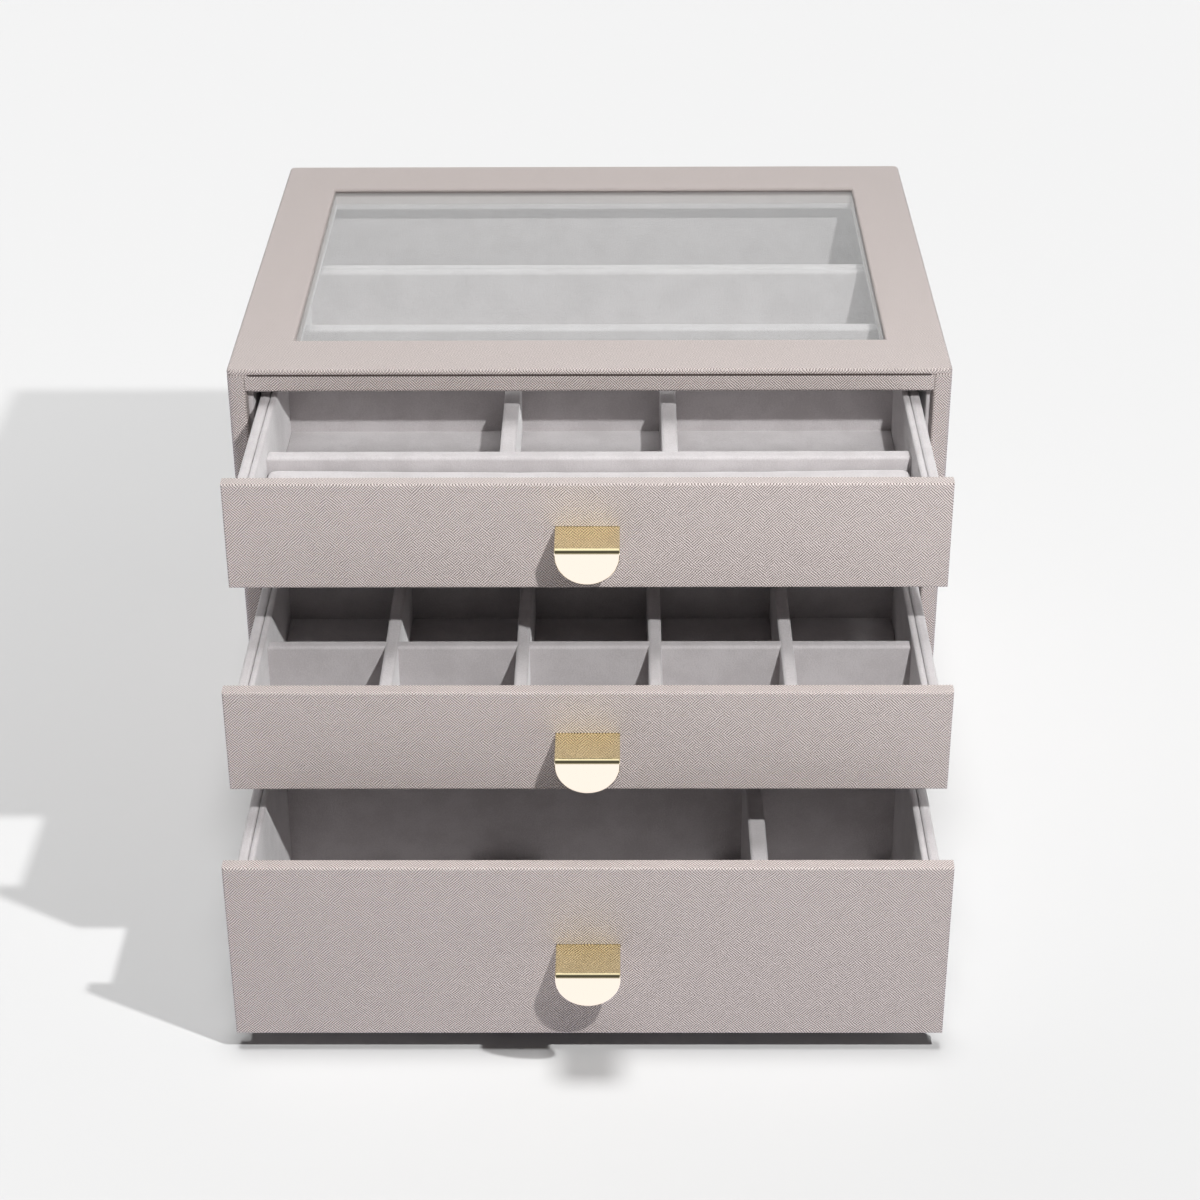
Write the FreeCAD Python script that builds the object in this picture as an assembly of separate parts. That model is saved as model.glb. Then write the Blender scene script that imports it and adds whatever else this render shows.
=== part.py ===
import FreeCAD, Part
import math
import os

# Jewelry box with a glazed top and three drawers, in millimetres.
# The origin is the middle of the underside, +Z is up and the drawers open towards -Y.
# The drawers are drawn pulled out, each by its own distance.

# Case of leather covered boards
case_width = 300.0
case_depth = 244.0
side_board = 7.5
back_board = 5.0
base_board = 6.5
corner_radius = 2.5
board_edge_radius = 1.2
seam_bevel = 0.4
felt_thickness = 1.0
felt_inset = 3.0

# Rails and shelves between the drawers
upper_rail_height = 24.1
lower_rail_height = 12.4
rail_depth = 12.0
shelf_board = 5.0

# Velvet linings of the case, on card
side_lining = 2.0
back_lining = 3.5
lining_setback = 1.0
ceiling_lining = 3.0

# Glazed top: cover, pane and rebated frame
cover_thickness = 2.5
cover_edge_radius = 1.4
top_frame_thickness = 7.5
window_side_border = 25.25
window_front_border = 31.0
window_back_border = 31.6
shadow_gap_height = 1.0
shadow_gap_depth = 1.2
pane_thickness = 3.0
pane_overlap = 6.0
pane_clearance = 0.3

# Drawer fronts, from the top drawer down
top_front_height = 46.0
middle_front_height = 45.0
bottom_front_height = 81.0
front_board = 6.0
front_edge_radius = 1.0
front_side_gap = 0.5
front_gap = 0.8
running_gap = 0.3

# How far each drawer is pulled out, and where its pull sits under the front's top edge
top_pulled_out = 83.3
middle_pulled_out = 120.4
bottom_pulled_out = 154.2
shallow_pull_drop = 18.5
deep_pull_drop = 36.4

# Drawer boxes
drawer_length = 233.5
drawer_side_play = 2.5
wall_board = 4.0
back_wall_board = 5.0
drawer_base_board = 3.0
wall_drop = 5.2
wall_edge_radius = 1.4
drawer_side_lining = 2.7
drawer_back_lining = 5.2
drawer_front_lining = 2.0
lining_gap = 0.3
floor_pad = 4.0
pad_edge_radius = 1.5
pad_clearance = 0.2

# Dividers of the top drawer, measured back from the face of its front
divider_board = 6.6
divider_edge_radius = 2.2
ring_row_back = 49.2
ring_divider_drop = 13.2
cell_row_back = 128.5
chain_row_back = 158.5
cell_divider_spacing = 66.3
ring_pad_drop = 18.2
ring_roll_count = 3
ring_roll_crown = 5.2
ring_slit_depth = 11.0
ring_slit_width = 0.4

# Dividers of the middle drawer: five columns and three rows, halved together
column_count = 5
crate_board = 6.0
crate_drop = 9.4
first_row_back = 50.4
second_row_back = 124.0

# Dividers of the bottom drawer
watch_divider_middle = 68.7
watch_divider_board = 7.0
deep_divider_drop = 9.2
watch_row_back = 109.0

# Brass pulls, bent from one strip
pull_width = 25.3
pull_projection = 20.0
pull_lip_drop = 15.0
pull_strip = 1.8
pull_bend_radius = 2.1
pull_flange_drop = 12.0
pull_edge_bevel = 0.3
pull_fit = 0.1

# Countersunk screws that hold a pull
screw_spacing = 14.0
screw_head_radius = 2.4
screw_shank_radius = 1.1
screw_head_depth = 1.3
screw_length = 5.0
screw_fit = 0.05


# Heights and faces that follow from the sizes above
case_front = -case_depth / 2
case_back = case_depth / 2
inner_back = case_back - back_board
inner_half_width = case_width / 2 - side_board
lined_half_width = inner_half_width - side_lining
lining_front = case_front + front_board + lining_setback
back_lining_face = inner_back - back_lining
base_top = felt_thickness + base_board
velvet_lift = front_gap - running_gap

bottom_drawer_bottom = base_top + front_gap
bottom_drawer_top = bottom_drawer_bottom + bottom_front_height
lower_rail_bottom = bottom_drawer_top + front_gap
lower_rail_top = lower_rail_bottom + lower_rail_height
middle_drawer_bottom = lower_rail_top + front_gap
middle_drawer_top = middle_drawer_bottom + middle_front_height
upper_rail_bottom = middle_drawer_top + front_gap
upper_rail_top = upper_rail_bottom + upper_rail_height
top_drawer_bottom = upper_rail_top + front_gap
top_drawer_top = top_drawer_bottom + top_front_height
frame_bottom = top_drawer_top + front_gap
frame_top = frame_bottom + top_frame_thickness
case_height = frame_top + cover_thickness

window_front = case_front + window_front_border
window_back = case_back - window_back_border
window_half_width = case_width / 2 - window_side_border

# The outer and inner faces of a drawer's side, measured from its middle
box_half_width = lined_half_width - drawer_side_play
wall_inner = box_half_width - wall_board
lining_outer = wall_inner - lining_gap
lining_inner = lining_outer - drawer_side_lining


def vector(x, y, z):
    return FreeCAD.Vector(x, y, z)


# A flat face from corners (u, v, radius); place turns u and v into a point in space.
def rounded_face(corners, place):
    arcs = []
    for index, (u, v, radius) in enumerate(corners):
        here = vector(u, v, 0)
        before = vector(corners[index - 1][0], corners[index - 1][1], 0)
        after_corner = corners[(index + 1) % len(corners)]
        after = vector(after_corner[0], after_corner[1], 0)
        to_before = (before - here).normalize()
        to_after = (after - here).normalize()
        half_angle = to_before.getAngle(to_after) / 2
        if radius <= 0:
            arcs.append((here, None, here))
            continue
        reach = radius / math.tan(half_angle)
        inward = (to_before + to_after).normalize()
        middle = here + inward * (radius / math.sin(half_angle) - radius)
        arcs.append((here + to_before * reach, middle, here + to_after * reach))
    edges = []
    for index, (start, middle, end) in enumerate(arcs):
        points = [place(point.x, point.y) for point in (start, end)]
        if middle is not None:
            edges.append(Part.Arc(points[0], place(middle.x, middle.y), points[1]).toShape())
        next_start = arcs[(index + 1) % len(arcs)][0]
        if (next_start - end).Length > 1e-6:
            edges.append(Part.LineSegment(points[1], place(next_start.x, next_start.y)).toShape())
    return Part.Face(Part.Wire(edges))


# The four corners of a rectangle, from its low corner anticlockwise, each with its radius.
def rectangle(u, v, radii):
    return [
        (u[0], v[0], radii[0]),
        (u[1], v[0], radii[1]),
        (u[1], v[1], radii[2]),
        (u[0], v[1], radii[3]),
    ]


# A board seen from above: its plan outline raised from z[0] to z[1].
def plan_board(corners, z):
    face = rounded_face(corners, lambda x, y: vector(x, y, z[0]))
    return face.extrude(vector(0, 0, z[1] - z[0]))


# A strip that runs from front to back, from its section in x and z.
def strip_along_y(corners, y):
    face = rounded_face(corners, lambda x, z: vector(x, y[0], z))
    return face.extrude(vector(0, y[1] - y[0], 0))


# A strip that runs from left to right, from its section in y and z.
def strip_along_x(corners, x):
    face = rounded_face(corners, lambda y, z: vector(x[0], y, z))
    return face.extrude(vector(x[1] - x[0], 0, 0))


def square_block(x, y, z):
    return Part.makeBox(x[1] - x[0], y[1] - y[0], z[1] - z[0], vector(x[0], y[0], z[0]))


# The radii of a section whose two upper corners alone are rounded.
def rounded_top(radius, thickness):
    limited = min(radius, thickness * 0.45)
    return (0, 0, limited, limited)


# Fillets the edges that the test picks by their bounding box.
def soften(shape, radius, wanted):
    edges = [edge for edge in shape.Edges if wanted(edge.BoundBox)]
    return shape.makeFillet(radius, edges)


# Takes a narrow bevel off the edges that the test picks, as where two covered boards meet in a seam.
def bevel(shape, size, wanted):
    edges = [edge for edge in shape.Edges if wanted(edge.BoundBox)]
    return shape.makeChamfer(size, edges)


def near(value, target):
    return abs(value - target) < 0.01


def mirrored(shape):
    return shape.mirror(vector(0, 0, 0), vector(1, 0, 0))


def save(name, shape):
    shape.exportStep("parts/" + name + ".step")


# A side panel of the case, standing on the felt's level, with its outer corners rounded.
def side_panel():
    radii = (corner_radius, board_edge_radius, 0, corner_radius)
    outer = -case_width / 2
    corners = rectangle((outer, -inner_half_width), (case_front, case_back), radii)
    panel = plan_board(corners, (felt_thickness, frame_top))
    return bevel(panel, seam_bevel, lambda box: near(box.ZMin, frame_top) and box.XMax < -inner_half_width - 0.1)


def back_panel():
    radii = (0, 0, board_edge_radius, board_edge_radius)
    corners = rectangle((-inner_half_width, inner_half_width), (inner_back, case_back), radii)
    return plan_board(corners, (felt_thickness, frame_top))


# The base board, whose velvet covered floor stands above its leather covered front edge.
def base_panel():
    floor = base_top + velvet_lift
    rail_back = case_front + rail_depth
    section = [
        (case_front, felt_thickness, board_edge_radius),
        (inner_back, felt_thickness, 0),
        (inner_back, floor, 0),
        (rail_back, floor, velvet_lift / 2),
        (rail_back, base_top, 0),
        (case_front, base_top, board_edge_radius),
    ]
    return strip_along_x(section, (-inner_half_width, inner_half_width))


def base_felt():
    half_width = case_width / 2 - felt_inset
    y = (case_front + felt_inset, case_back - felt_inset)
    corners = rectangle((-half_width, half_width), y, (corner_radius,) * 4)
    return plan_board(corners, (0, felt_thickness))


# A front rail, notched at both ends round the linings of the sides.
def rail(z):
    rail_back = case_front + rail_depth
    outline = [
        (-inner_half_width, case_front, 0),
        (inner_half_width, case_front, 0),
        (inner_half_width, lining_front, 0),
        (lined_half_width, lining_front, 0),
        (lined_half_width, rail_back, 0),
        (-lined_half_width, rail_back, 0),
        (-lined_half_width, lining_front, 0),
        (-inner_half_width, lining_front, 0),
    ]
    return soften(plan_board(outline, z), board_edge_radius, lambda box: near(box.YMax, case_front) and box.XLength > 1)


# A shelf that carries a drawer, velvet on its upper face, between the linings.
def shelf(rail_top):
    top = rail_top + velvet_lift
    y = (case_front + rail_depth, back_lining_face)
    corners = rectangle((-lined_half_width, lined_half_width), y, (0, 0, 0, 0))
    return plan_board(corners, (top - shelf_board, top))


def side_case_lining():
    edge_radius = min(board_edge_radius, side_lining * 0.45)
    corners = rectangle((-inner_half_width, -lined_half_width), (lining_front, back_lining_face), (0, edge_radius, 0, 0))
    return plan_board(corners, (base_top + velvet_lift, frame_bottom))


def back_case_lining():
    corners = rectangle((-inner_half_width, inner_half_width), (back_lining_face, inner_back), (0, 0, 0, 0))
    return plan_board(corners, (base_top + velvet_lift, frame_bottom))


# The window's outline in plan, grown by a margin on every side.
def window_block(margin, z):
    x = (-window_half_width - margin, window_half_width + margin)
    return square_block(x, (window_front - margin, window_back + margin), z)


def is_window_edge(box):
    inside_x = box.XMin > -window_half_width - 0.01 and box.XMax < window_half_width + 0.01
    inside_y = box.YMin > window_front - 0.01 and box.YMax < window_back + 0.01
    return inside_x and inside_y


# The cover frame on top: soft edges outside and at the window, and a narrow gap over the pane.
def top_cover():
    half_width = case_width / 2
    corners = rectangle((-half_width, half_width), (case_front, case_back), (corner_radius,) * 4)
    cover = plan_board(corners, (frame_top, case_height))
    cover = soften(cover, cover_edge_radius, lambda box: near(box.ZMin, case_height))
    cover = bevel(cover, seam_bevel, lambda box: near(box.ZMax, frame_top))
    cover = cover.cut(window_block(0, (frame_top, case_height)))
    cover = soften(cover, cover_edge_radius, lambda box: near(box.ZMin, case_height) and is_window_edge(box))
    return cover.cut(window_block(shadow_gap_depth, (frame_top, frame_top + shadow_gap_height)))


# The frame under the cover, whose front edge is the case's top rail, rebated for the pane.
def top_frame():
    corners = rectangle((-inner_half_width, inner_half_width), (case_front, inner_back), (0, 0, 0, 0))
    frame = plan_board(corners, (frame_bottom, frame_top))
    frame = soften(frame, board_edge_radius, lambda box: near(box.YMax, case_front) and box.XLength > 1)
    frame = frame.cut(window_block(0, (frame_bottom, frame_top)))
    frame = bevel(frame, seam_bevel, lambda box: near(box.ZMax, frame_bottom) and is_window_edge(box))
    return frame.cut(window_block(pane_overlap, (frame_top - pane_thickness, frame_top)))


def window_pane():
    margin = pane_overlap - pane_clearance
    x = (-window_half_width - margin, window_half_width + margin)
    corners = rectangle(x, (window_front - margin, window_back + margin), (0, 0, 0, 0))
    return plan_board(corners, (frame_top - pane_thickness, frame_top))


# The velvet ceiling round the window, behind the closed top drawer's front.
def ceiling():
    y = (lining_front, back_lining_face)
    corners = rectangle((-lined_half_width, lined_half_width), y, (0, 0, 0, 0))
    lining = plan_board(corners, (frame_bottom - ceiling_lining, frame_bottom))
    lining = lining.cut(window_block(0, (frame_bottom - ceiling_lining, frame_bottom)))
    edge_radius = min(board_edge_radius, ceiling_lining * 0.4)
    bottom = frame_bottom - ceiling_lining
    lining = soften(lining, edge_radius, lambda box: near(box.ZMax, bottom) and is_window_edge(box))
    return bevel(lining, seam_bevel, lambda box: near(box.ZMin, frame_bottom) and is_window_edge(box))


# One drawer: where its faces lie, and the pieces that all three drawers share.
class Drawer:
    def __init__(self, name, bottom, height, pulled_out, pull_drop):
        self.name = name
        self.bottom = bottom
        self.top = bottom + height
        self.face = case_front - pulled_out
        self.wall_top = self.top - wall_drop
        self.base_top = bottom + drawer_base_board
        self.floor = self.base_top + floor_pad
        self.back = self.face + drawer_length
        self.box_front = self.face + front_board
        self.row_front = self.box_front + drawer_front_lining
        self.back_wall_face = self.back - back_wall_board
        self.row_back = self.back_wall_face - lining_gap - drawer_back_lining
        self.pull_top = self.top - pull_drop
        self.half_width = inner_half_width - front_side_gap

    # The front board, with the slot for the pull's strip and the pocket for its flange behind.
    def front(self):
        corners = rectangle((-self.half_width, self.half_width), (self.bottom, self.top), (0, 0, 0, 0))
        board = strip_along_y(corners, (self.face, self.box_front))
        board = soften(board, front_edge_radius, lambda box: near(box.YMax, self.face))
        board = bevel(board, seam_bevel, lambda box: near(box.YMin, self.box_front))
        half_slot = pull_width / 2 + pull_fit
        slot_z = (self.pull_top - pull_strip - pull_fit, self.pull_top + pull_fit)
        slot = square_block((-half_slot, half_slot), (self.face, self.box_front), slot_z)
        pocket_z = (self.pull_top - pull_flange_drop - pull_fit, self.pull_top + pull_fit)
        pocket_y = (self.box_front - pull_strip - pull_fit, self.box_front)
        pocket = square_block((-half_slot, half_slot), pocket_y, pocket_z)
        holes = [screw_hole(x, self.box_front, self.screw_height()) for x in screw_places()]
        return board.cut(Part.Compound([slot, pocket] + holes))

    def screw_height(self):
        return self.pull_top - pull_strip - (pull_flange_drop - pull_strip) / 2

    # The pull: a lip with a half round end, a plate through the front and a flange behind it.
    def pull(self):
        outer = self.face - pull_projection
        inner_radius = pull_bend_radius - pull_strip
        section = [
            (outer, self.pull_top - pull_lip_drop, 0),
            (outer + pull_strip, self.pull_top - pull_lip_drop, 0),
            (outer + pull_strip, self.pull_top - pull_strip, inner_radius),
            (self.box_front - pull_strip, self.pull_top - pull_strip, inner_radius),
            (self.box_front - pull_strip, self.pull_top - pull_flange_drop, 0),
            (self.box_front, self.pull_top - pull_flange_drop, 0),
            (self.box_front, self.pull_top, pull_bend_radius),
            (outer, self.pull_top, pull_bend_radius),
        ]
        half = pull_width / 2
        strip = strip_along_x(section, (-half, half))
        round_middle = self.pull_top - pull_lip_drop + half
        lip_y = (outer, outer + pull_strip)
        ends = square_block((-half, half), lip_y, (self.pull_top - pull_lip_drop, round_middle))
        disc = Part.makeCylinder(half, pull_strip, vector(0, outer, round_middle), vector(0, 1, 0))
        strip = strip.cut(ends.cut(disc))
        strip = strip.cut(Part.Compound([screw_hole(x, self.box_front, self.screw_height()) for x in screw_places()]))
        bend_bottom = self.pull_top - pull_bend_radius
        return strip.makeChamfer(pull_edge_bevel, lip_face_edges(strip, outer, bend_bottom))

    def pull_screws(self):
        height = self.screw_height()
        return Part.Compound([screw(x, self.box_front, height) for x in screw_places()])

    def base(self):
        y = (self.box_front, self.back)
        corners = rectangle((-box_half_width, box_half_width), (self.bottom, self.base_top), (seam_bevel, seam_bevel, 0, 0))
        return strip_along_y(corners, y)

    def side_wall(self):
        radii = rounded_top(wall_edge_radius, wall_board)
        corners = rectangle((-box_half_width, -wall_inner), (self.base_top, self.wall_top), radii)
        return strip_along_y(corners, (self.box_front, self.back))

    def back_wall(self):
        radii = rounded_top(wall_edge_radius, back_wall_board)
        corners = rectangle((self.back_wall_face, self.back), (self.base_top, self.wall_top), radii)
        return strip_along_x(corners, (-wall_inner, wall_inner))

    def one_side_lining(self):
        radii = rounded_top(wall_edge_radius, drawer_side_lining)
        corners = rectangle((-lining_outer, -lining_inner), (self.base_top, self.wall_top), radii)
        return strip_along_y(corners, (self.row_front, self.row_back))

    def side_linings(self):
        left = self.one_side_lining()
        return Part.Compound([left, mirrored(left)])

    def back_lining(self):
        radii = rounded_top(wall_edge_radius, drawer_back_lining)
        y = (self.row_back, self.row_back + drawer_back_lining)
        corners = rectangle(y, (self.base_top, self.wall_top), radii)
        return strip_along_x(corners, (-lining_outer, lining_outer))

    def front_lining(self):
        radii = rounded_top(wall_edge_radius, drawer_front_lining)
        corners = rectangle((self.box_front, self.row_front), (self.base_top, self.wall_top), radii)
        return strip_along_x(corners, (-lining_outer, lining_outer))

    def floor_cushion(self):
        radius = min(pad_edge_radius, floor_pad * 0.45)
        half = lining_inner - pad_clearance
        corners = rectangle((-half, half), (self.base_top, self.floor), (0, 0, 0, 0))
        pad = strip_along_y(corners, (self.row_front + pad_clearance, self.row_back - pad_clearance))
        return soften(pad, radius, lambda box: near(box.ZMin, self.floor))

    # A divider from left to right, whose front face lies at this distance behind the drawer's face.
    def cross_strip(self, distance, board, drop):
        y = (self.face + distance, self.face + distance + board)
        corners = rectangle(y, (self.floor, self.top - drop), rounded_top(divider_edge_radius, board))
        return strip_along_x(corners, (-lining_inner, lining_inner))

    # A divider from front to back, between two distances behind the drawer's face.
    def length_strip(self, middle, board, distances, drop):
        x = (middle - board / 2, middle + board / 2)
        corners = rectangle(x, (self.floor, self.top - drop), rounded_top(divider_edge_radius, board))
        return strip_along_y(corners, (self.face + distances[0], self.face + distances[1]))

    def shared_pieces(self):
        wall = self.side_wall()
        return {
            "front": self.front(),
            "pull": self.pull(),
            "pull_screws": self.pull_screws(),
            "base": self.base(),
            "left_wall": wall,
            "right_wall": mirrored(wall),
            "back_wall": self.back_wall(),
            "side_linings": self.side_linings(),
            "back_lining": self.back_lining(),
            "front_lining": self.front_lining(),
            "floor_pad": self.floor_cushion(),
        }


def screw_places():
    return (-screw_spacing / 2, screw_spacing / 2)


# A countersunk screw driven forwards from y, its head flush there; grow makes its hole.
def screw(x, y, z, grow=0.0):
    head = screw_head_radius + grow
    shank = screw_shank_radius + grow
    end = -screw_length - grow
    profile = [
        vector(0, 0, 0),
        vector(head, 0, 0),
        vector(shank, -screw_head_depth, 0),
        vector(shank, end, 0),
        vector(0, end, 0),
    ]
    outline = Part.Face(Part.makePolygon(profile + profile[:1]))
    body = outline.revolve(vector(0, 0, 0), vector(0, 1, 0), 360)
    body.translate(vector(x, y, z))
    return body


def screw_hole(x, y, z):
    return screw(x, y, z, screw_fit)


# The outline of the lip's front face below the bend, without the bend's own edge.
def lip_face_edges(strip, outer, bend_bottom):
    chosen = []
    for edge in strip.Edges:
        box = edge.BoundBox
        on_face = near(box.YMin, outer) and near(box.YMax, outer)
        if on_face and box.ZMin < bend_bottom - 0.05:
            chosen.append(edge)
    return chosen


# A cushion of upholstered rolls with slits between them, from its section.
def ring_pad(drawer):
    y0 = drawer.row_front + pad_clearance
    y1 = drawer.face + ring_row_back - pad_clearance
    crest = drawer.top - ring_pad_drop
    spring = crest - ring_roll_crown
    pitch = (y1 - y0 + ring_slit_width) / ring_roll_count
    roll = pitch - ring_slit_width
    x = -lining_inner + pad_clearance

    def at(y, z):
        return vector(x, y, z)

    edges = [Part.LineSegment(at(y1, drawer.floor), at(y0, drawer.floor)).toShape()]
    edges.append(Part.LineSegment(at(y0, drawer.floor), at(y0, spring)).toShape())
    for number in range(ring_roll_count):
        start = y0 + number * pitch
        end = start + roll
        edges.append(Part.Arc(at(start, spring), at(start + roll / 2, crest), at(end, spring)).toShape())
        if number < ring_roll_count - 1:
            slit = [at(end, spring), at(end, crest - ring_slit_depth)]
            slit += [at(end + ring_slit_width, crest - ring_slit_depth), at(end + ring_slit_width, spring)]
            edges += [Part.LineSegment(a, b).toShape() for a, b in zip(slit, slit[1:])]
    edges.append(Part.LineSegment(at(y1, spring), at(y1, drawer.floor)).toShape())
    section = Part.Face(Part.Wire(edges))
    return section.extrude(vector(2 * (lining_inner - pad_clearance), 0, 0))


def top_drawer_pieces(drawer):
    pieces = drawer.shared_pieces()
    pieces["ring_pad"] = ring_pad(drawer)
    pieces["ring_divider"] = drawer.cross_strip(ring_row_back, divider_board, ring_divider_drop)
    pieces["middle_divider"] = drawer.cross_strip(cell_row_back, divider_board, wall_drop)
    pieces["rear_divider"] = drawer.cross_strip(chain_row_back, divider_board, wall_drop)
    distances = (ring_row_back + divider_board, cell_row_back)
    middles = (-cell_divider_spacing / 2, cell_divider_spacing / 2)
    cells = [drawer.length_strip(x, divider_board, distances, ring_divider_drop) for x in middles]
    pieces["cell_dividers"] = Part.Compound(cells)
    return pieces


# The middles of the strips that part a width into equal columns.
def column_middles():
    clear = (2 * lining_inner - (column_count - 1) * crate_board) / column_count
    return [-lining_inner + (clear + crate_board) * number - crate_board / 2 for number in range(1, column_count)]


# The halved crate of the middle drawer: long strips slotted below, short strips slotted above.
def middle_drawer_pieces(drawer):
    pieces = drawer.shared_pieces()
    height = (drawer.top - crate_drop) - drawer.floor
    half_z = drawer.floor + height / 2
    half_board = crate_board / 2
    rows = {"first_row_divider": first_row_back, "second_row_divider": second_row_back}
    lower_slots = [
        square_block((x - half_board, x + half_board), (drawer.face, drawer.back), (drawer.floor, half_z))
        for x in column_middles()
    ]
    upper_slots = [
        square_block(
            (-lining_inner, lining_inner),
            (drawer.face + distance, drawer.face + distance + crate_board),
            (half_z, drawer.top),
        )
        for distance in rows.values()
    ]
    for name, distance in rows.items():
        strip = drawer.cross_strip(distance, crate_board, crate_drop)
        pieces[name] = strip.cut(Part.Compound(lower_slots))
    distances = (drawer.row_front - drawer.face, drawer.row_back - drawer.face)
    columns = []
    for x in column_middles():
        strip = drawer.length_strip(x, crate_board, distances, crate_drop)
        columns.append(strip.cut(Part.Compound(upper_slots)))
    pieces["column_dividers"] = Part.Compound(columns)
    return pieces


def bottom_drawer_pieces(drawer):
    pieces = drawer.shared_pieces()
    pieces["rear_divider"] = drawer.cross_strip(watch_row_back, watch_divider_board, deep_divider_drop)
    distances = (drawer.row_front - drawer.face, watch_row_back)
    pieces["watch_divider"] = drawer.length_strip(
        watch_divider_middle, watch_divider_board, distances, deep_divider_drop
    )
    return pieces


def case_pieces():
    side = side_panel()
    lining = side_case_lining()
    return {
        "left_side_panel": side,
        "right_side_panel": mirrored(side),
        "back_panel": back_panel(),
        "base_panel": base_panel(),
        "base_felt": base_felt(),
        "upper_rail": rail((upper_rail_bottom, upper_rail_top)),
        "lower_rail": rail((lower_rail_bottom, lower_rail_top)),
        "upper_shelf": shelf(upper_rail_top),
        "lower_shelf": shelf(lower_rail_top),
        "left_case_lining": lining,
        "right_case_lining": mirrored(lining),
        "back_case_lining": back_case_lining(),
        "ceiling_lining": ceiling(),
        "top_frame": top_frame(),
        "window_pane": window_pane(),
        "top_cover": top_cover(),
    }


top_drawer = Drawer("top_drawer", top_drawer_bottom, top_front_height, top_pulled_out, shallow_pull_drop)
middle_drawer = Drawer(
    "middle_drawer", middle_drawer_bottom, middle_front_height, middle_pulled_out, shallow_pull_drop
)
bottom_drawer = Drawer(
    "bottom_drawer", bottom_drawer_bottom, bottom_front_height, bottom_pulled_out, deep_pull_drop
)

os.makedirs("parts", exist_ok=True)
for piece_name, piece in case_pieces().items():
    save(piece_name, piece)
for drawer, drawer_pieces in (
    (top_drawer, top_drawer_pieces),
    (middle_drawer, middle_drawer_pieces),
    (bottom_drawer, bottom_drawer_pieces),
):
    for piece_name, piece in drawer_pieces(drawer).items():
        save(drawer.name + "_" + piece_name, piece)
print("case height", round(case_height, 2), "and files", len(os.listdir("parts")))
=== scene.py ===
import math

import bmesh
import bpy
from mathutils import Matrix, Vector, noise


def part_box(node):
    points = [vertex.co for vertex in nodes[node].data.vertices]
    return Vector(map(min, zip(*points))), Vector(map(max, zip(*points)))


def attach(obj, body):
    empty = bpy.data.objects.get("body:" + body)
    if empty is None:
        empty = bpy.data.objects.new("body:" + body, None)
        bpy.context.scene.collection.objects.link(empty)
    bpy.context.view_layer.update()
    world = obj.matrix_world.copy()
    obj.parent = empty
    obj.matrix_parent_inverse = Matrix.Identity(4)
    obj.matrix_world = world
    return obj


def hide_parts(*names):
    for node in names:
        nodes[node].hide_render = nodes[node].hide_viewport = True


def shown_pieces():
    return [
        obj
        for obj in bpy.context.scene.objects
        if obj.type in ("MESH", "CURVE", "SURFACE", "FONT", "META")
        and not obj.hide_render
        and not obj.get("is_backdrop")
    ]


# Looks of a jewelry box with a glazed top and three drawers, in metres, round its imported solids
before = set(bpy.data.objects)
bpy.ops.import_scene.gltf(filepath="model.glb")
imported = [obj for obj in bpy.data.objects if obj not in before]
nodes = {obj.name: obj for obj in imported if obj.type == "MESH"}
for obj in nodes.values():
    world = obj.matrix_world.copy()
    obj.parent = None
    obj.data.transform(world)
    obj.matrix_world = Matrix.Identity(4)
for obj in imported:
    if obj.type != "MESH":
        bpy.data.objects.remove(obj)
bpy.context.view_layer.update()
print("frame:", len(nodes), "nodes")


# The photograph's viewpoint, fitted to the edges of the case and the drawers
cameraSetup = {
    "place": (0.013055, -1.098075, 0.670064),
    "pitch": 0.511744,  # below the horizon, radians
    "yaw": 0.009301,
    "roll": -0.005810,
    "lens": 77.612,
    "sensor": 36.0,
}


def addCamera():
    data = bpy.data.cameras.new("camera")
    data.lens = cameraSetup["lens"]
    data.sensor_width = cameraSetup["sensor"]
    data.clip_start, data.clip_end = 0.05, 50
    camera = bpy.data.objects.new("camera", data)
    bpy.context.scene.collection.objects.link(camera)
    turn = Matrix.Rotation(cameraSetup["yaw"], 4, "Z")
    turn = turn @ Matrix.Rotation(math.pi / 2 - cameraSetup["pitch"], 4, "X")
    turn = turn @ Matrix.Rotation(cameraSetup["roll"], 4, "Z")
    camera.matrix_world = Matrix.Translation(cameraSetup["place"]) @ turn
    bpy.context.scene.camera = camera


addCamera()
print("camera placed")


# A shader socket that can stand in sums; each operator adds a Math node
class Shade:
    def __init__(self, finish, socket):
        self.finish = finish
        self.socket = socket

    def maths(self, operation, *others):
        inputs = dict(enumerate((self,) + others))
        return self.finish.node("ShaderNodeMath", {"operation": operation}, inputs)

    def turned(self, operation, first):
        return self.finish.node("ShaderNodeMath", {"operation": operation}, {0: first, 1: self})

    def __add__(self, other):
        return self.maths("ADD", other)

    def __radd__(self, other):
        return self.turned("ADD", other)

    def __sub__(self, other):
        return self.maths("SUBTRACT", other)

    def __rsub__(self, other):
        return self.turned("SUBTRACT", other)

    def __mul__(self, other):
        return self.maths("MULTIPLY", other)

    def __rmul__(self, other):
        return self.turned("MULTIPLY", other)

    def __truediv__(self, other):
        return self.maths("DIVIDE", other)

    def __rtruediv__(self, other):
        return self.turned("DIVIDE", other)

    def __pow__(self, other):
        return self.maths("POWER", other)

    def __gt__(self, other):
        return self.maths("GREATER_THAN", other)


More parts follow.
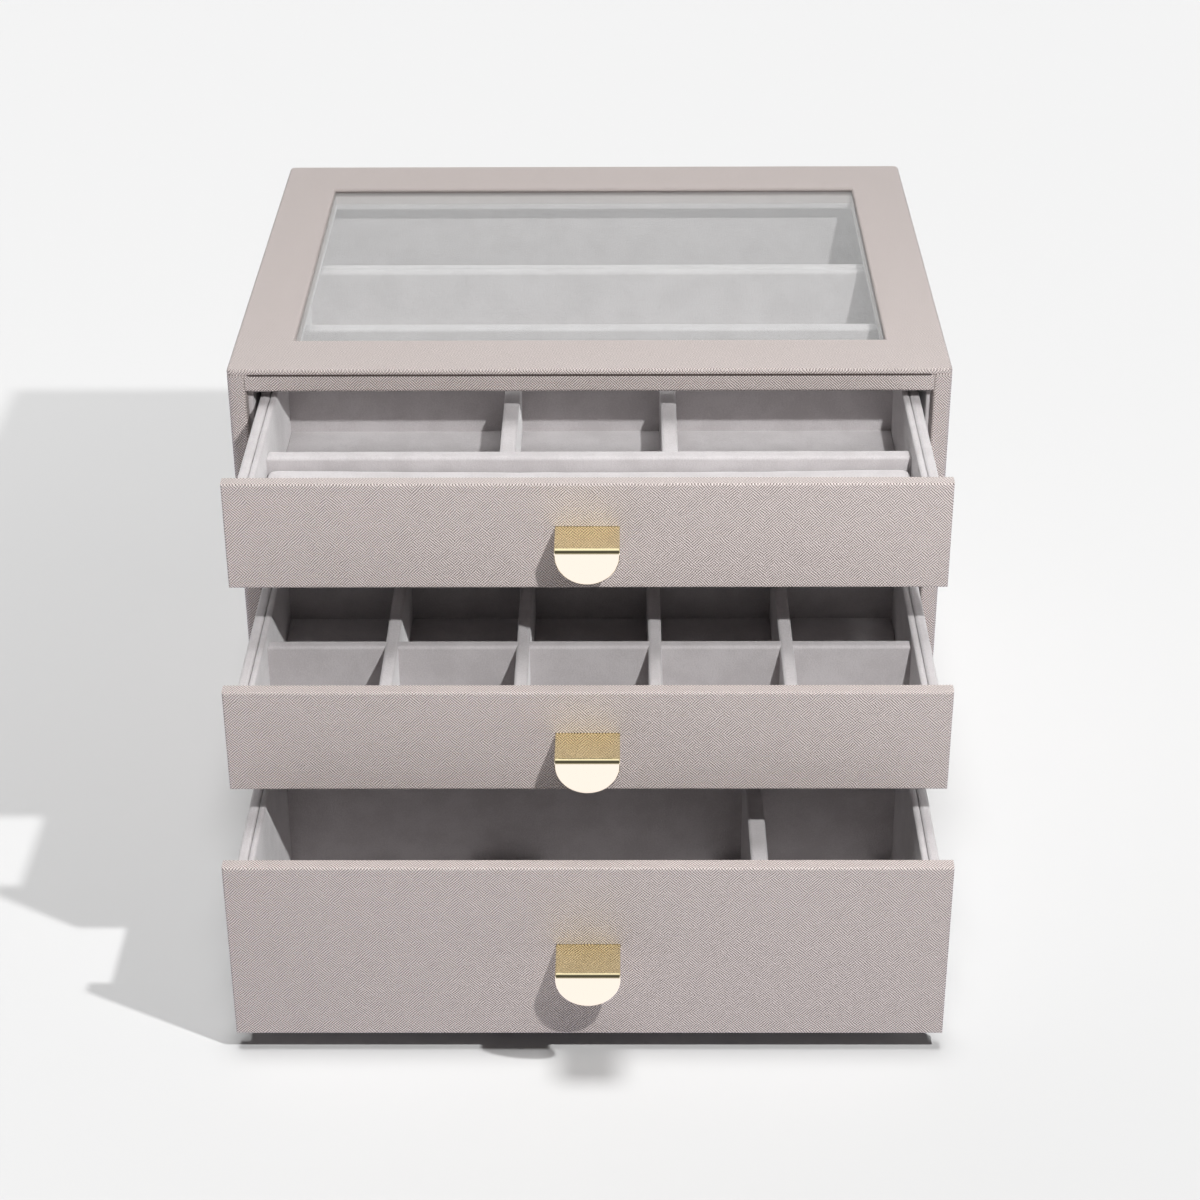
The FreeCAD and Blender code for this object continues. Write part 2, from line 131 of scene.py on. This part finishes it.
# A node tree under construction: a material's, or the world's
class Finish:
    def __init__(self, name, owner=None):
        self.owner = owner or bpy.data.materials.new(name)
        self.owner.use_nodes = True
        self.tree = self.owner.node_tree
        self.tree.nodes.clear()

    # One node: its type, its settings, then the values or links of its sockets
    def node(self, kind, settings=None, values=None, out=0):
        made = self.tree.nodes.new(kind)
        for name, value in (settings or {}).items():
            setattr(made, name, value)
        for name, value in (values or {}).items():
            if isinstance(value, Shade):
                self.tree.links.new(value.socket, made.inputs[name])
            else:
                made.inputs[name].default_value = value
        return Shade(self, made.outputs[out]) if len(made.outputs) else None

    # The x, y and z of a vector
    def parts(self, vector):
        made = self.node("ShaderNodeSeparateXYZ", None, {0: vector}).socket.node
        return [Shade(self, socket) for socket in made.outputs]

    # sockets 6 and 7 of a Mix node are its colours, 2 and 3 its numbers
    def mixColours(self, factor, first, second):
        settings = {"data_type": "RGBA"}
        return self.node("ShaderNodeMix", settings, {0: factor, 6: first, 7: second}, 2)

    def mixNumbers(self, factor, first, second):
        return self.node("ShaderNodeMix", {"data_type": "FLOAT"}, {0: factor, 2: first, 3: second})

    def noise(self, point, scale, detail=2.0, roughness=0.5, distortion=0.0):
        values = {"Vector": point, "Scale": scale, "Detail": detail}
        values.update({"Roughness": roughness, "Distortion": distortion})
        return self.node("ShaderNodeTexNoise", {"noise_dimensions": "3D"}, values)

    # 0 below low, 1 above high, and smooth between
    def step(self, value, low, high):
        settings = {"interpolation_type": "SMOOTHSTEP"}
        return self.node("ShaderNodeMapRange", settings, {0: value, 1: low, 2: high, 3: 0.0, 4: 1.0})

    def bump(self, height, distance, below=None):
        values = {"Height": height, "Distance": distance, "Strength": 1.0}
        if below is not None:
            values["Normal"] = below
        return self.node("ShaderNodeBump", None, values)

    def show(self, shader):
        self.node("ShaderNodeOutputMaterial", None, {"Surface": shader})
        return self.owner


def colour(red, green, blue):
    return (red, green, blue, 1.0)


# Cross-hatched grained leather: pressed strokes cross at 45 degrees, one way or the other stronger in patches
leather = {
    # pale ridges and dark hollows of the grain; the hollows' darkness is partly the leather's own two-tone
    # grain, partly painted shade
    "light": (0.800, 0.712, 0.687),
    "shadedHollow": (0.190, 0.159, 0.147),
    "strokePitch": 0.00086,  # from one stroke to the next, measured across them
    "strokeWander": 5.0,  # radians
    "wanderScale": 300.0,
    "patchScale": 240.0,  # patches in which one direction is the stronger
    "patchEdges": (0.36, 0.64),
    "leastShare": 0.25,  # of the weaker direction
    "breakScale": 1100.0,  # breaks along each stroke
    "breakEdges": (0.25, 0.6),
    "leastStroke": 0.4,
    "swing": 0.68,
    "shadingTop": 0.95,
    "strokeHeight": 0.00017,
    "creaseScale": 900.0,
    "creaseHeight": 0.00004,
    "roughness": (0.6, 0.44),  # shaded hollow, light
    "specular": 0.4,
}


def makeLeather(name):
    look = leather
    f = Finish(name)
    point = f.node("ShaderNodeTexCoord", out="Object")
    facing = f.parts(f.node("ShaderNodeTexCoord", out="Normal"))
    onSide = facing[0].maths("ABSOLUTE") > 0.7  # the pattern lies flat on each side of a board
    onTop = facing[2].maths("ABSOLUTE") > 0.7
    x, y, z = f.parts(point)
    across = f.mixNumbers(onSide, x, y)
    along = f.mixNumbers(onTop, z, y)
    turns = 2 * math.pi / (look["strokePitch"] * math.sqrt(2))
    wander = (f.noise(point, look["wanderScale"], 1.0) - 0.5) * look["strokeWander"]
    rising = ((across - along) * turns + wander).maths("SINE")
    falling = ((across + along) * turns - wander).maths("SINE")
    share = f.step(f.noise(point, look["patchScale"], 1.0), *look["patchEdges"])
    share = share * (1 - 2 * look["leastShare"]) + look["leastShare"]
    broken = f.step(f.noise(point, look["breakScale"], 1.0), *look["breakEdges"])
    broken = broken * (1 - look["leastStroke"]) + look["leastStroke"]
    height = f.mixNumbers(share, rising, falling) * broken * look["swing"] + 0.5
    creases = f.noise(point, look["creaseScale"], 2.0)
    # the grain's hollows are painted darker: partly the leather's own two-tone grain, partly painted shade
    # where the hollows would be shaded
    hollowShading = f.step(height, 0.0, look["shadingTop"])
    raised = f.bump(height, look["strokeHeight"], f.bump(creases, look["creaseHeight"]))
    values = {
        "Base Color": f.mixColours(hollowShading, colour(*look["shadedHollow"]), colour(*look["light"])),
        "Roughness": f.mixNumbers(height, *look["roughness"]),
        "Specular IOR Level": look["specular"],
        "Normal": raised,
    }
    return f.show(f.node("ShaderNodeBsdfPrincipled", None, values))


# Short velvet pile: soft mottling where it has been brushed, and a fine nap
velvet = {
    "colour": (0.633, 0.605, 0.610),
    "brushed": (0.551, 0.523, 0.527),
    "brushScale": 70.0,
    "brushShare": 0.55,  # of the mottling; the nap has the rest
    "mottleEdges": (0.38, 0.62),
    "napScale": 1500.0,
    "napHeight": 0.00016,
    "roughness": (0.85, 1.0),
    "specular": 0.15,
    "sheen": 0.54,
    "sheenRoughness": 0.45,
}


def makeVelvet(name):
    look = velvet
    f = Finish(name)
    point = f.node("ShaderNodeTexCoord", out="Object")
    brush = f.noise(point, look["brushScale"], 4.0, 0.6)
    nap = f.noise(point, look["napScale"], 2.0, 0.7)
    mottle = brush * look["brushShare"] + nap * (1 - look["brushShare"])
    shade = f.step(mottle, *look["mottleEdges"])
    values = {
        "Base Color": f.mixColours(shade, colour(*look["brushed"]), colour(*look["colour"])),
        "Roughness": f.mixNumbers(nap, *look["roughness"]),
        "Specular IOR Level": look["specular"],
        "Sheen Weight": look["sheen"],
        "Sheen Roughness": look["sheenRoughness"],
        "Normal": f.bump(nap, look["napHeight"]),
    }
    return f.show(f.node("ShaderNodeBsdfPrincipled", None, values))


# Mirror polished brass with faint rubbing marks along the strip
brass = {
    "colour": (0.97, 0.85, 0.53),
    "roughness": (0.05, 0.10),  # polished, rubbed
    "rubScale": 900.0,
    "rubStretch": 12.0,
    "rubEdges": (0.4, 0.8),
    "rubHeight": 0.000002,
}


def makeBrass(name):
    look = brass
    f = Finish(name)
    point = f.node("ShaderNodeTexCoord", out="Object")
    stretch = (1.0, look["rubStretch"], 1.0)
    stretched = f.node("ShaderNodeMapping", None, {"Vector": point, "Scale": stretch})
    rubbed = f.noise(stretched, look["rubScale"], 2.0)
    values = {
        "Base Color": colour(*look["colour"]),
        "Metallic": 1.0,
        "Roughness": f.mixNumbers(f.step(rubbed, *look["rubEdges"]), *look["roughness"]),
        "Normal": f.bump(rubbed, look["rubHeight"]),
    }
    return f.show(f.node("ShaderNodeBsdfPrincipled", None, values))


# Zinc plated screws, lightly stained
steel = {
    "dull": (0.55, 0.54, 0.52),
    "bright": (0.72, 0.71, 0.69),
    "stainScale": 500.0,
    "roughness": (0.25, 0.4),
}


def makeSteel(name):
    f = Finish(name)
    point = f.node("ShaderNodeTexCoord", out="Object")
    stain = f.noise(point, steel["stainScale"], 3.0)
    values = {
        "Base Color": f.mixColours(stain, colour(*steel["dull"]), colour(*steel["bright"])),
        "Metallic": 1.0,
        "Roughness": f.mixNumbers(stain, *steel["roughness"]),
    }
    return f.show(f.node("ShaderNodeBsdfPrincipled", None, values))


# Pressed felt under the base
felt = {
    "dark": (0.38, 0.35, 0.34),
    "pale": (0.50, 0.47, 0.46),
    "fibreScale": 1500.0,
    "fibreTwist": 1.5,
    "fibreHeight": 0.0003,
    "specular": 0.1,
}


def makeFelt(name):
    f = Finish(name)
    point = f.node("ShaderNodeTexCoord", out="Object")
    fibres = f.noise(point, felt["fibreScale"], 4.0, 0.7, felt["fibreTwist"])
    values = {
        "Base Color": f.mixColours(fibres, colour(*felt["dark"]), colour(*felt["pale"])),
        "Roughness": 1.0,
        "Specular IOR Level": felt["specular"],
        "Normal": f.bump(fibres, felt["fibreHeight"]),
    }
    return f.show(f.node("ShaderNodeBsdfPrincipled", None, values))


# Clear glass: it bends the view through it, and lets shadow and bounced rays straight on
glass = {"colour": (0.928, 0.932, 0.931), "ior": 1.5}


def makeGlass(name):
    f = Finish(name)
    tone = colour(*glass["colour"])
    bent = f.node("ShaderNodeBsdfGlass", None, {"Color": tone, "Roughness": 0.0, "IOR": glass["ior"]})
    clear = f.node("ShaderNodeBsdfTransparent", None, {"Color": tone})
    rays = f.node("ShaderNodeLightPath").socket.node
    shadow, bounced = (Shade(f, rays.outputs[kind]) for kind in ("Is Shadow Ray", "Is Diffuse Ray"))
    straightOn = shadow.maths("MAXIMUM", bounced)
    return f.show(f.node("ShaderNodeMixShader", None, {0: straightOn, 1: bent, 2: clear}))


# Each of the record's material slots has its finish
finishes = {
    "taupe_leather": makeLeather("taupeLeather"),
    "grey_velvet": makeVelvet("greyVelvet"),
    "velvet_cushion": makeVelvet("cushionVelvet"),
    "base_felt": makeFelt("pressedFelt"),
    "polished_brass": makeBrass("polishedBrass"),
    "screw_steel": makeSteel("zincSteel"),
    "clear_pane": makeGlass("clearGlass"),
}

for name, node in nodes.items():
    for place in node.material_slots:
        slotName = place.material.name.split(".")[0]
        place.material = finishes[slotName]
print("finishes made and given to the nodes")


# The lowest and highest corners of each separate solid of a node
def solidBoxes(name):
    build = bmesh.new()
    build.from_mesh(nodes[name].data)
    bmesh.ops.remove_doubles(build, verts=build.verts[:], dist=1e-6)
    waiting = set(build.verts)
    boxes = []
    while waiting:
        start = waiting.pop()
        found, front = [start], [start]
        while front:
            here = front.pop()
            for edge in here.link_edges:
                other = edge.other_vert(here)
                if other in waiting:
                    waiting.remove(other)
                    found.append(other)
                    front.append(other)
        low = Vector([min(v.co[axis] for v in found) for axis in range(3)])
        high = Vector([max(v.co[axis] for v in found) for axis in range(3)])
        boxes.append((low, high))
    build.free()
    return sorted(boxes, key=lambda box: (box[0].x, box[0].y))


def asPiece(name, build, finish, smooth=True):
    bmesh.ops.recalc_face_normals(build, faces=build.faces[:])
    for face in build.faces:
        face.smooth = smooth
    mesh = bpy.data.meshes.new(name)
    build.to_mesh(mesh)
    build.free()
    mesh.materials.append(finish)
    piece = bpy.data.objects.new(name, mesh)
    bpy.context.scene.collection.objects.link(piece)
    return piece


# Velvet covered boards that part the drawers; the cloth rounds their upper edges
boardLook = {
    "edge": 0.0014,
    "segments": 4,
    # how each board differs from its solid: moved back, thinner on each side, lower at its top
    "top_drawer": {
        "ring_divider": {"back": 0.0008},
        "cell_dividers": {},
        "middle_divider": {},
        "rear_divider": {"back": -0.0012},
    },
    "middle_drawer": {
        "first_row_divider": {"back": 0.0011, "thinner": 0.0003, "lower": 0.0003},
        "second_row_divider": {"thinner": 0.0003, "lower": 0.0003},
        "column_dividers": {"thinner": 0.0003},
    },
    "bottom_drawer": {"rear_divider": {"lower": 0.0108}, "watch_divider": {"lower": 0.0108}},
}


# One piece for each node of boards; gives back where the boards stand, for the floor pad
def makeBoards(drawer):
    standing = []
    for name, fitted in boardLook[drawer].items():
        build = bmesh.new()
        for low, high in solidBoxes(drawer + "_" + name):
            thin = 0 if high.x - low.x < high.y - low.y else 1
            low[thin] += fitted.get("thinner", 0)
            high[thin] -= fitted.get("thinner", 0)
            low.y += fitted.get("back", 0)
            high.y += fitted.get("back", 0)
            high.z -= fitted.get("lower", 0)
            made = bmesh.ops.create_cube(build, size=1.0)["verts"]
            bmesh.ops.scale(build, vec=high - low, verts=made)
            bmesh.ops.translate(build, vec=(low + high) / 2, verts=made)
            standing.append((low, high))
        build.normal_update()
        tops = [edge for edge in build.edges if sum(face.normal.z > 0.5 for face in edge.link_faces) == 1]
        bmesh.ops.bevel(build, geom=tops, offset=boardLook["edge"], segments=boardLook["segments"],
                        profile=0.5, material=-1, affect="EDGES")
        board = asPiece(drawer + "_" + name.replace("divider", "board"), build, finishes["grey_velvet"])
        board.modifiers.new("normals", "WEIGHTED_NORMAL")
        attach(board, drawer)
        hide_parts(drawer + "_" + name)
    return standing


# Velvet covered floor pads: crowned in each compartment, held down where a board stands
padLook = {
    "cell": 0.0028,  # of the mesh
    "crown": 0.0008,
    "shoulder": 0.006,  # how far from a wall the crown takes to rise
    "edge": 0.0014,
    "segments": 3,
    "ripple": 0.00012,
    "rippleLength": 0.02,
    "fill": 0.8,
}


def makeFloorPad(drawer, standing):
    low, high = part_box(drawer + "_floor_pad")
    size = high - low
    build = bmesh.new()
    counts = [max(2, round(size[axis] / padLook["cell"])) for axis in (0, 1)]
    bmesh.ops.create_grid(build, x_segments=counts[0], y_segments=counts[1], size=0.5)
    bmesh.ops.scale(build, vec=(size.x, size.y, 1), verts=build.verts[:])
    middle = (low + high) / 2
    bmesh.ops.translate(build, vec=(middle.x, middle.y, high.z), verts=build.verts[:])
    for vert in build.verts:
        point = vert.co
        free = min(point.x - low.x, high.x - point.x, point.y - low.y, high.y - point.y)
        for boxLow, boxHigh in standing:
            outX = max(boxLow.x - point.x, point.x - boxHigh.x, 0)
            outY = max(boxLow.y - point.y, point.y - boxHigh.y, 0)
            free = min(free, math.hypot(outX, outY))
        rise = 1 - math.exp(-free / padLook["shoulder"])
        ripple = noise.noise(point / padLook["rippleLength"]) * padLook["ripple"]
        point.z += rise * (padLook["crown"] + ripple)
    top = build.faces[:]
    rim = [edge for edge in build.edges if edge.is_boundary]
    down = bmesh.ops.extrude_face_region(build, geom=top, use_keep_orig=True)["geom"]
    for vert in down:
        if isinstance(vert, bmesh.types.BMVert):
            vert.co.z = low.z
    bmesh.ops.bevel(build, geom=rim, offset=padLook["edge"], segments=padLook["segments"], profile=0.5,
                    material=-1, affect="EDGES")
    pad = asPiece(drawer + "_velvet_floor", build, finishes["velvet_cushion"])
    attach(pad, drawer)
    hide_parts(drawer + "_floor_pad")


for drawer in ("top_drawer", "middle_drawer", "bottom_drawer"):
    makeFloorPad(drawer, makeBoards(drawer))
print("boards and floor pads made")


# Painted shadow along the seam where the cover lies on the frame: a thin dark bead round the case stands in
# for the shade in the groove
seamShadowLook = {
    "height": 0.0009,
    "proud": 0.00006,
    "thickness": 0.0004,
    "corner": 0.0025,
    "segments": 4,
    "colour": (0.045, 0.032, 0.028),
    "blotchy": 1.8,  # times as light in random patches
    "blotchScale": 700.0,
    "roughness": (0.55, 0.75),
}


def makeSeamShadow():
    f = Finish("seamShadowPaint")
    point = f.node("ShaderNodeTexCoord", out="Object")
    blotchy = f.noise(point, seamShadowLook["blotchScale"], 2.0)
    lighter = [part * seamShadowLook["blotchy"] for part in seamShadowLook["colour"]]
    values = {
        # near-black painted shadow colour, lighter in random patches
        "Base Color": f.mixColours(blotchy, colour(*seamShadowLook["colour"]), colour(*lighter)),
        "Roughness": f.mixNumbers(blotchy, *seamShadowLook["roughness"]),
    }
    paint = f.show(f.node("ShaderNodeBsdfPrincipled", None, values))
    low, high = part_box("top_frame")
    build = bmesh.new()
    made = bmesh.ops.create_cube(build, size=1.0)["verts"]
    proud = 2 * seamShadowLook["proud"]
    size = (high.x - low.x + proud, high.y - low.y + proud, seamShadowLook["height"])
    middle = (low + high) / 2
    bmesh.ops.scale(build, vec=size, verts=made)
    bmesh.ops.translate(build, vec=(middle.x, middle.y, high.z), verts=made)
    upright = [edge for edge in build.edges if abs(edge.verts[0].co.z - edge.verts[1].co.z) > 1e-5]
    bmesh.ops.bevel(build, geom=upright, offset=seamShadowLook["corner"], segments=seamShadowLook["segments"], profile=0.5,
                    material=-1, affect="EDGES")
    build.normal_update()
    ends = [face for face in build.faces if abs(face.normal.z) > 0.5]
    bmesh.ops.delete(build, geom=ends, context="FACES_ONLY")
    bmesh.ops.solidify(build, geom=build.faces[:], thickness=seamShadowLook["thickness"])
    seam = asPiece("cover_seam_shadow", build, paint, smooth=False)
    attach(seam, "case")


makeSeamShadow()


# The pane lies in a rebate of the cover, a little above its solid
paneLook = {"rise": 0.0012, "edge": 0.0003, "segments": 2}


def makePane():
    low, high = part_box("window_pane")
    build = bmesh.new()
    made = bmesh.ops.create_cube(build, size=1.0)["verts"]
    bmesh.ops.scale(build, vec=high - low, verts=made)
    middle = (low + high) / 2
    bmesh.ops.translate(build, vec=(middle.x, middle.y, middle.z + paneLook["rise"]), verts=made)
    bmesh.ops.bevel(build, geom=build.edges[:], offset=paneLook["edge"], segments=paneLook["segments"],
                    profile=0.5, material=-1, affect="EDGES")
    pane = asPiece("clear_glazing", build, finishes["clear_pane"], smooth=False)
    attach(pane, "case")
    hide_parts("window_pane")


makePane()
print("seam and pane made")


# Ring cushion: three velvet covered foam rolls, pressed together in a row
rollLook = {
    "count": 3,
    "slit": 0.0004,
    "cuts": (100, 5, 8),  # along x, y and z
    "spring": 0.3,  # share of the height at which the rounding starts
    "rounding": 7,
    "softness": 0.5,
    "pressure": 3.0,
    "frames": 20,
    "reach": 0.0011,  # the most that a point may swell
    "rise": 0.0016,  # the foam stands this much over its solid
    "dimple": 0.00025,
    "dimpleLength": 0.014,
    "fill": 0.7,
}


# Pressure in the cloth plumps the rolls; the result is written into the mesh
def swell(piece):
    cloth = piece.modifiers.new("cloth", "CLOTH")
    cloth.settings.use_pressure = True
    cloth.settings.uniform_pressure_force = rollLook["pressure"]
    cloth.settings.effector_weights.gravity = 0
    cloth.point_cache.frame_end = rollLook["frames"]
    scene = bpy.context.scene
    for frameNumber in range(1, rollLook["frames"] + 1):
        scene.frame_set(frameNumber)
    shaped = piece.evaluated_get(bpy.context.evaluated_depsgraph_get()).to_mesh()
    moved = [vert.co.copy() for vert in shaped.vertices]
    piece.modifiers.remove(cloth)
    scene.frame_set(1)
    for vert, target in zip(piece.data.vertices, moved):
        step = target - vert.co
        if step.length > rollLook["reach"]:
            step.length = rollLook["reach"]
        vert.co += step


def makeRingCushion():
    low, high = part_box("top_drawer_ring_pad")
    high.z += rollLook["rise"]
    pitch = (high.y - low.y + rollLook["slit"]) / rollLook["count"]
    build = bmesh.new()
    slots = []
    for number in range(rollLook["count"]):
        start = low.y + number * pitch
        end = start + pitch - rollLook["slit"]
        slots.append((start, end))
        made = bmesh.ops.create_cube(build, size=1.0)["verts"]
        bmesh.ops.scale(build, vec=(high.x - low.x, end - start, high.z - low.z), verts=made)
        middle = ((low.x + high.x) / 2, (start + end) / 2, (low.z + high.z) / 2)
        bmesh.ops.translate(build, vec=middle, verts=made)
    for axis, cuts in enumerate(rollLook["cuts"]):
        along = []
        for edge in build.edges:
            span = edge.verts[1].co - edge.verts[0].co
            if abs(span[axis]) > 0.9 * span.length:
                along.append(edge)
        bmesh.ops.subdivide_edges(build, edges=along, cuts=cuts, use_grid_fill=True)
    spring = low.z + rollLook["spring"] * (high.z - low.z)
    for _ in range(rollLook["rounding"]):
        upper = [vert for vert in build.verts if vert.co.z > spring]
        bmesh.ops.smooth_vert(build, verts=upper, factor=rollLook["softness"], use_axis_x=True,
                              use_axis_y=True, use_axis_z=True)
    cushion = asPiece("ring_cushion", build, finishes["velvet_cushion"])
    swell(cushion)
    # dimpled on top, and kept to each roll's own place and off the floor
    for vert in cushion.data.vertices:
        point = vert.co
        start, end = min(slots, key=lambda slot: abs(point.y - (slot[0] + slot[1]) / 2))
        if point.z > spring:
            point.z += noise.noise(point / rollLook["dimpleLength"]) * rollLook["dimple"]
        point.x = min(max(point.x, low.x), high.x)
        point.y = min(max(point.y, start), end)
        point.z = max(point.z, low.z)
    smoother = cushion.modifiers.new("smooth", "SUBSURF")
    smoother.levels = smoother.render_levels = 1
    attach(cushion, "top_drawer")
    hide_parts("top_drawer_ring_pad")


makeRingCushion()
print("ring cushion made")


# Pale floor and plain studio light: soft boxes overhead and behind, a near lamp, and the floor's own lamps
studio = {
    "background": 0.905,
    "fill": 0.05,  # from all round, on the part
    "floorSize": 8.0,
    # towards points at the box, spread is its width in radians
    "overhead": {"towards": (0.06, 0.0, 1.0), "spread": 0.75, "level": 0.57},
    "behind": {"towards": (0.0, 0.8, 0.6), "spread": 1.4, "level": 0.32},
    "nearLamp": (0.205, -0.763, 0.722),
    "nearRadius": 0.010,
    "nearPower": 0.53,  # light on a face turned to the lamp at one metre, as a share of plain level
    "floorLamp": (0.527, -0.642, 0.963),
    "floorLampRadius": 0.018,
    "floorEven": 0.9,
    "floorSpread": 0.3,
    "floorShare": 1.385,  # of the lamp straight below it, against the even light
    # what metal and glass see: a dim room, a dark band in front between low and high, a pale ceiling above
    "gloss": {
        "around": 0.42,
        "above": 1.1,
        "dark": 0.08,
        "front": (0.15, 0.35),
        "low": (0.29, 0.35),
        "high": (0.93, 1.03),
    },
    "floorGloss": 1.7,  # how much paler metal sees the floor than the camera does
    "glossTone": (0.715, 0.715, 1.0),  # the cooler light that the floor throws back at metal
    # light thrown onto the floor by the fronts, taken off the floor's colour there
    "bounce": {"place": (0.05, -0.42, 0.0), "reach": 0.30, "share": 0.065},
}


def addLamp(name, place, radius, energy, onto):
    data = bpy.data.lights.new(name, "POINT")
    data.energy = energy
    data.shadow_soft_size = radius
    return setLamp(name, data, place, onto)


def addSoftBox(name, look, onto):
    data = bpy.data.lights.new(name, "SUN")
    data.energy = look["level"] * math.pi
    data.angle = look["spread"]
    lamp = setLamp(name, data, (0, 0, 3), onto)
    lamp.rotation_euler = Vector(look["towards"]).to_track_quat("Z", "Y").to_euler()
    return lamp


def setLamp(name, data, place, onto):
    lamp = bpy.data.objects.new(name, data)
    lamp.location = place
    bpy.context.scene.collection.objects.link(lamp)
    lamp.light_linking.receiver_collection = onto
    return lamp


# The floor's colour undoes its lamp's falloff, so that it looks even and only the shadow shows
def addFloor(evenLight, lampPlace):
    f = Finish("paleFloor")
    point = f.node("ShaderNodeTexCoord", out="Object")
    away = f.node("ShaderNodeVectorMath", {"operation": "DISTANCE"}, {0: point, 1: lampPlace}, 1)
    falloff = (lampPlace.z / away) ** 3
    level = evenLight * (1 + falloff * studio["floorShare"])
    bounce = studio["bounce"]
    near = f.node("ShaderNodeVectorMath", {"operation": "DISTANCE"}, {0: point, 1: bounce["place"]}, 1)
    near = ((near / bounce["reach"]) ** 2 * -1).maths("EXPONENT")
    grey = studio["background"] / level * (1 - near * bounce["share"])
    tone = f.node("ShaderNodeCombineXYZ", None, {0: grey, 1: grey, 2: grey})
    values = {"Base Color": tone, "Roughness": 1.0, "Specular IOR Level": 0.0}
    lit = f.node("ShaderNodeBsdfPrincipled", None, values)
    mirrored = Shade(f, f.node("ShaderNodeLightPath").socket.node.outputs["Is Glossy Ray"])
    strength = studio["background"] * studio["floorGloss"]
    paler = f.node("ShaderNodeEmission", None, {"Color": colour(*studio["glossTone"]), "Strength": strength})
    material = f.show(f.node("ShaderNodeMixShader", None, {0: mirrored, 1: lit, 2: paler}))
    mesh = bpy.data.meshes.new("floor")
    build = bmesh.new()
    bmesh.ops.create_grid(build, x_segments=1, y_segments=1, size=studio["floorSize"] / 2)
    build.to_mesh(mesh)
    build.free()
    mesh.materials.append(material)
    floor = bpy.data.objects.new("floor", mesh)
    bpy.context.scene.collection.objects.link(floor)
    floor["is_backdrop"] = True
    return floor


# The part is lit by a dim surround; the camera sees the pale background, and metal and glass a studio
def addSurround():
    world = bpy.data.worlds.new("studio")
    bpy.context.scene.world = world
    w = Finish("studio", world)
    gloss = studio["gloss"]
    rays = w.node("ShaderNodeLightPath").socket.node
    kinds = ("Camera", "Glossy", "Transmission")
    straight, mirrored, through = (Shade(w, rays.outputs["Is %s Ray" % kind]) for kind in kinds)
    depth, height = w.parts(w.node("ShaderNodeTexCoord", out="Object"))[1:]
    band = w.step(0 - depth, *gloss["front"]) * w.step(height, *gloss["low"])
    reflected = w.mixNumbers(band, gloss["around"], gloss["dark"])
    reflected = w.mixNumbers(w.step(height, *gloss["high"]), reflected, gloss["above"])
    strength = w.mixNumbers(mirrored, studio["fill"], reflected)
    strength = w.mixNumbers(straight.maths("MAXIMUM", through), strength, studio["background"])
    back = w.node("ShaderNodeBackground", None, {"Color": colour(1, 1, 1), "Strength": strength})
    w.node("ShaderNodeOutputWorld", None, {"Surface": back})


def addStudio():
    evenLight = studio["fill"] + studio["floorEven"]
    lampPlace = Vector(studio["floorLamp"])
    floor = addFloor(evenLight, lampPlace)
    addSurround()
    onFloor = bpy.data.collections.new("onFloor")
    onFloor.objects.link(floor)
    onPart = bpy.data.collections.new("onPart")
    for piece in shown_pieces():
        onPart.objects.link(piece)
    # a point lamp of energy E gives E / (4 pi pi r r) of plain level to a white face turned to it
    perShare = 4 * math.pi * math.pi
    addLamp("nearLamp", studio["nearLamp"], studio["nearRadius"], studio["nearPower"] * perShare, onPart)
    overhead = addSoftBox("overheadBox", studio["overhead"], onPart)
    overhead.visible_glossy = False  # metal and glass see the plain studio there
    addSoftBox("rearBox", studio["behind"], onPart)
    under = evenLight * studio["floorShare"] * lampPlace.z ** 2
    addLamp("floorLamp", lampPlace, studio["floorLampRadius"], under * perShare, onFloor)
    even = {"towards": (0, 0, 1), "spread": studio["floorSpread"], "level": studio["floorEven"]}
    addSoftBox("floorBox", even, onFloor)


addStudio()
bpy.context.scene.view_settings.view_transform = "Standard"
print("studio lit")
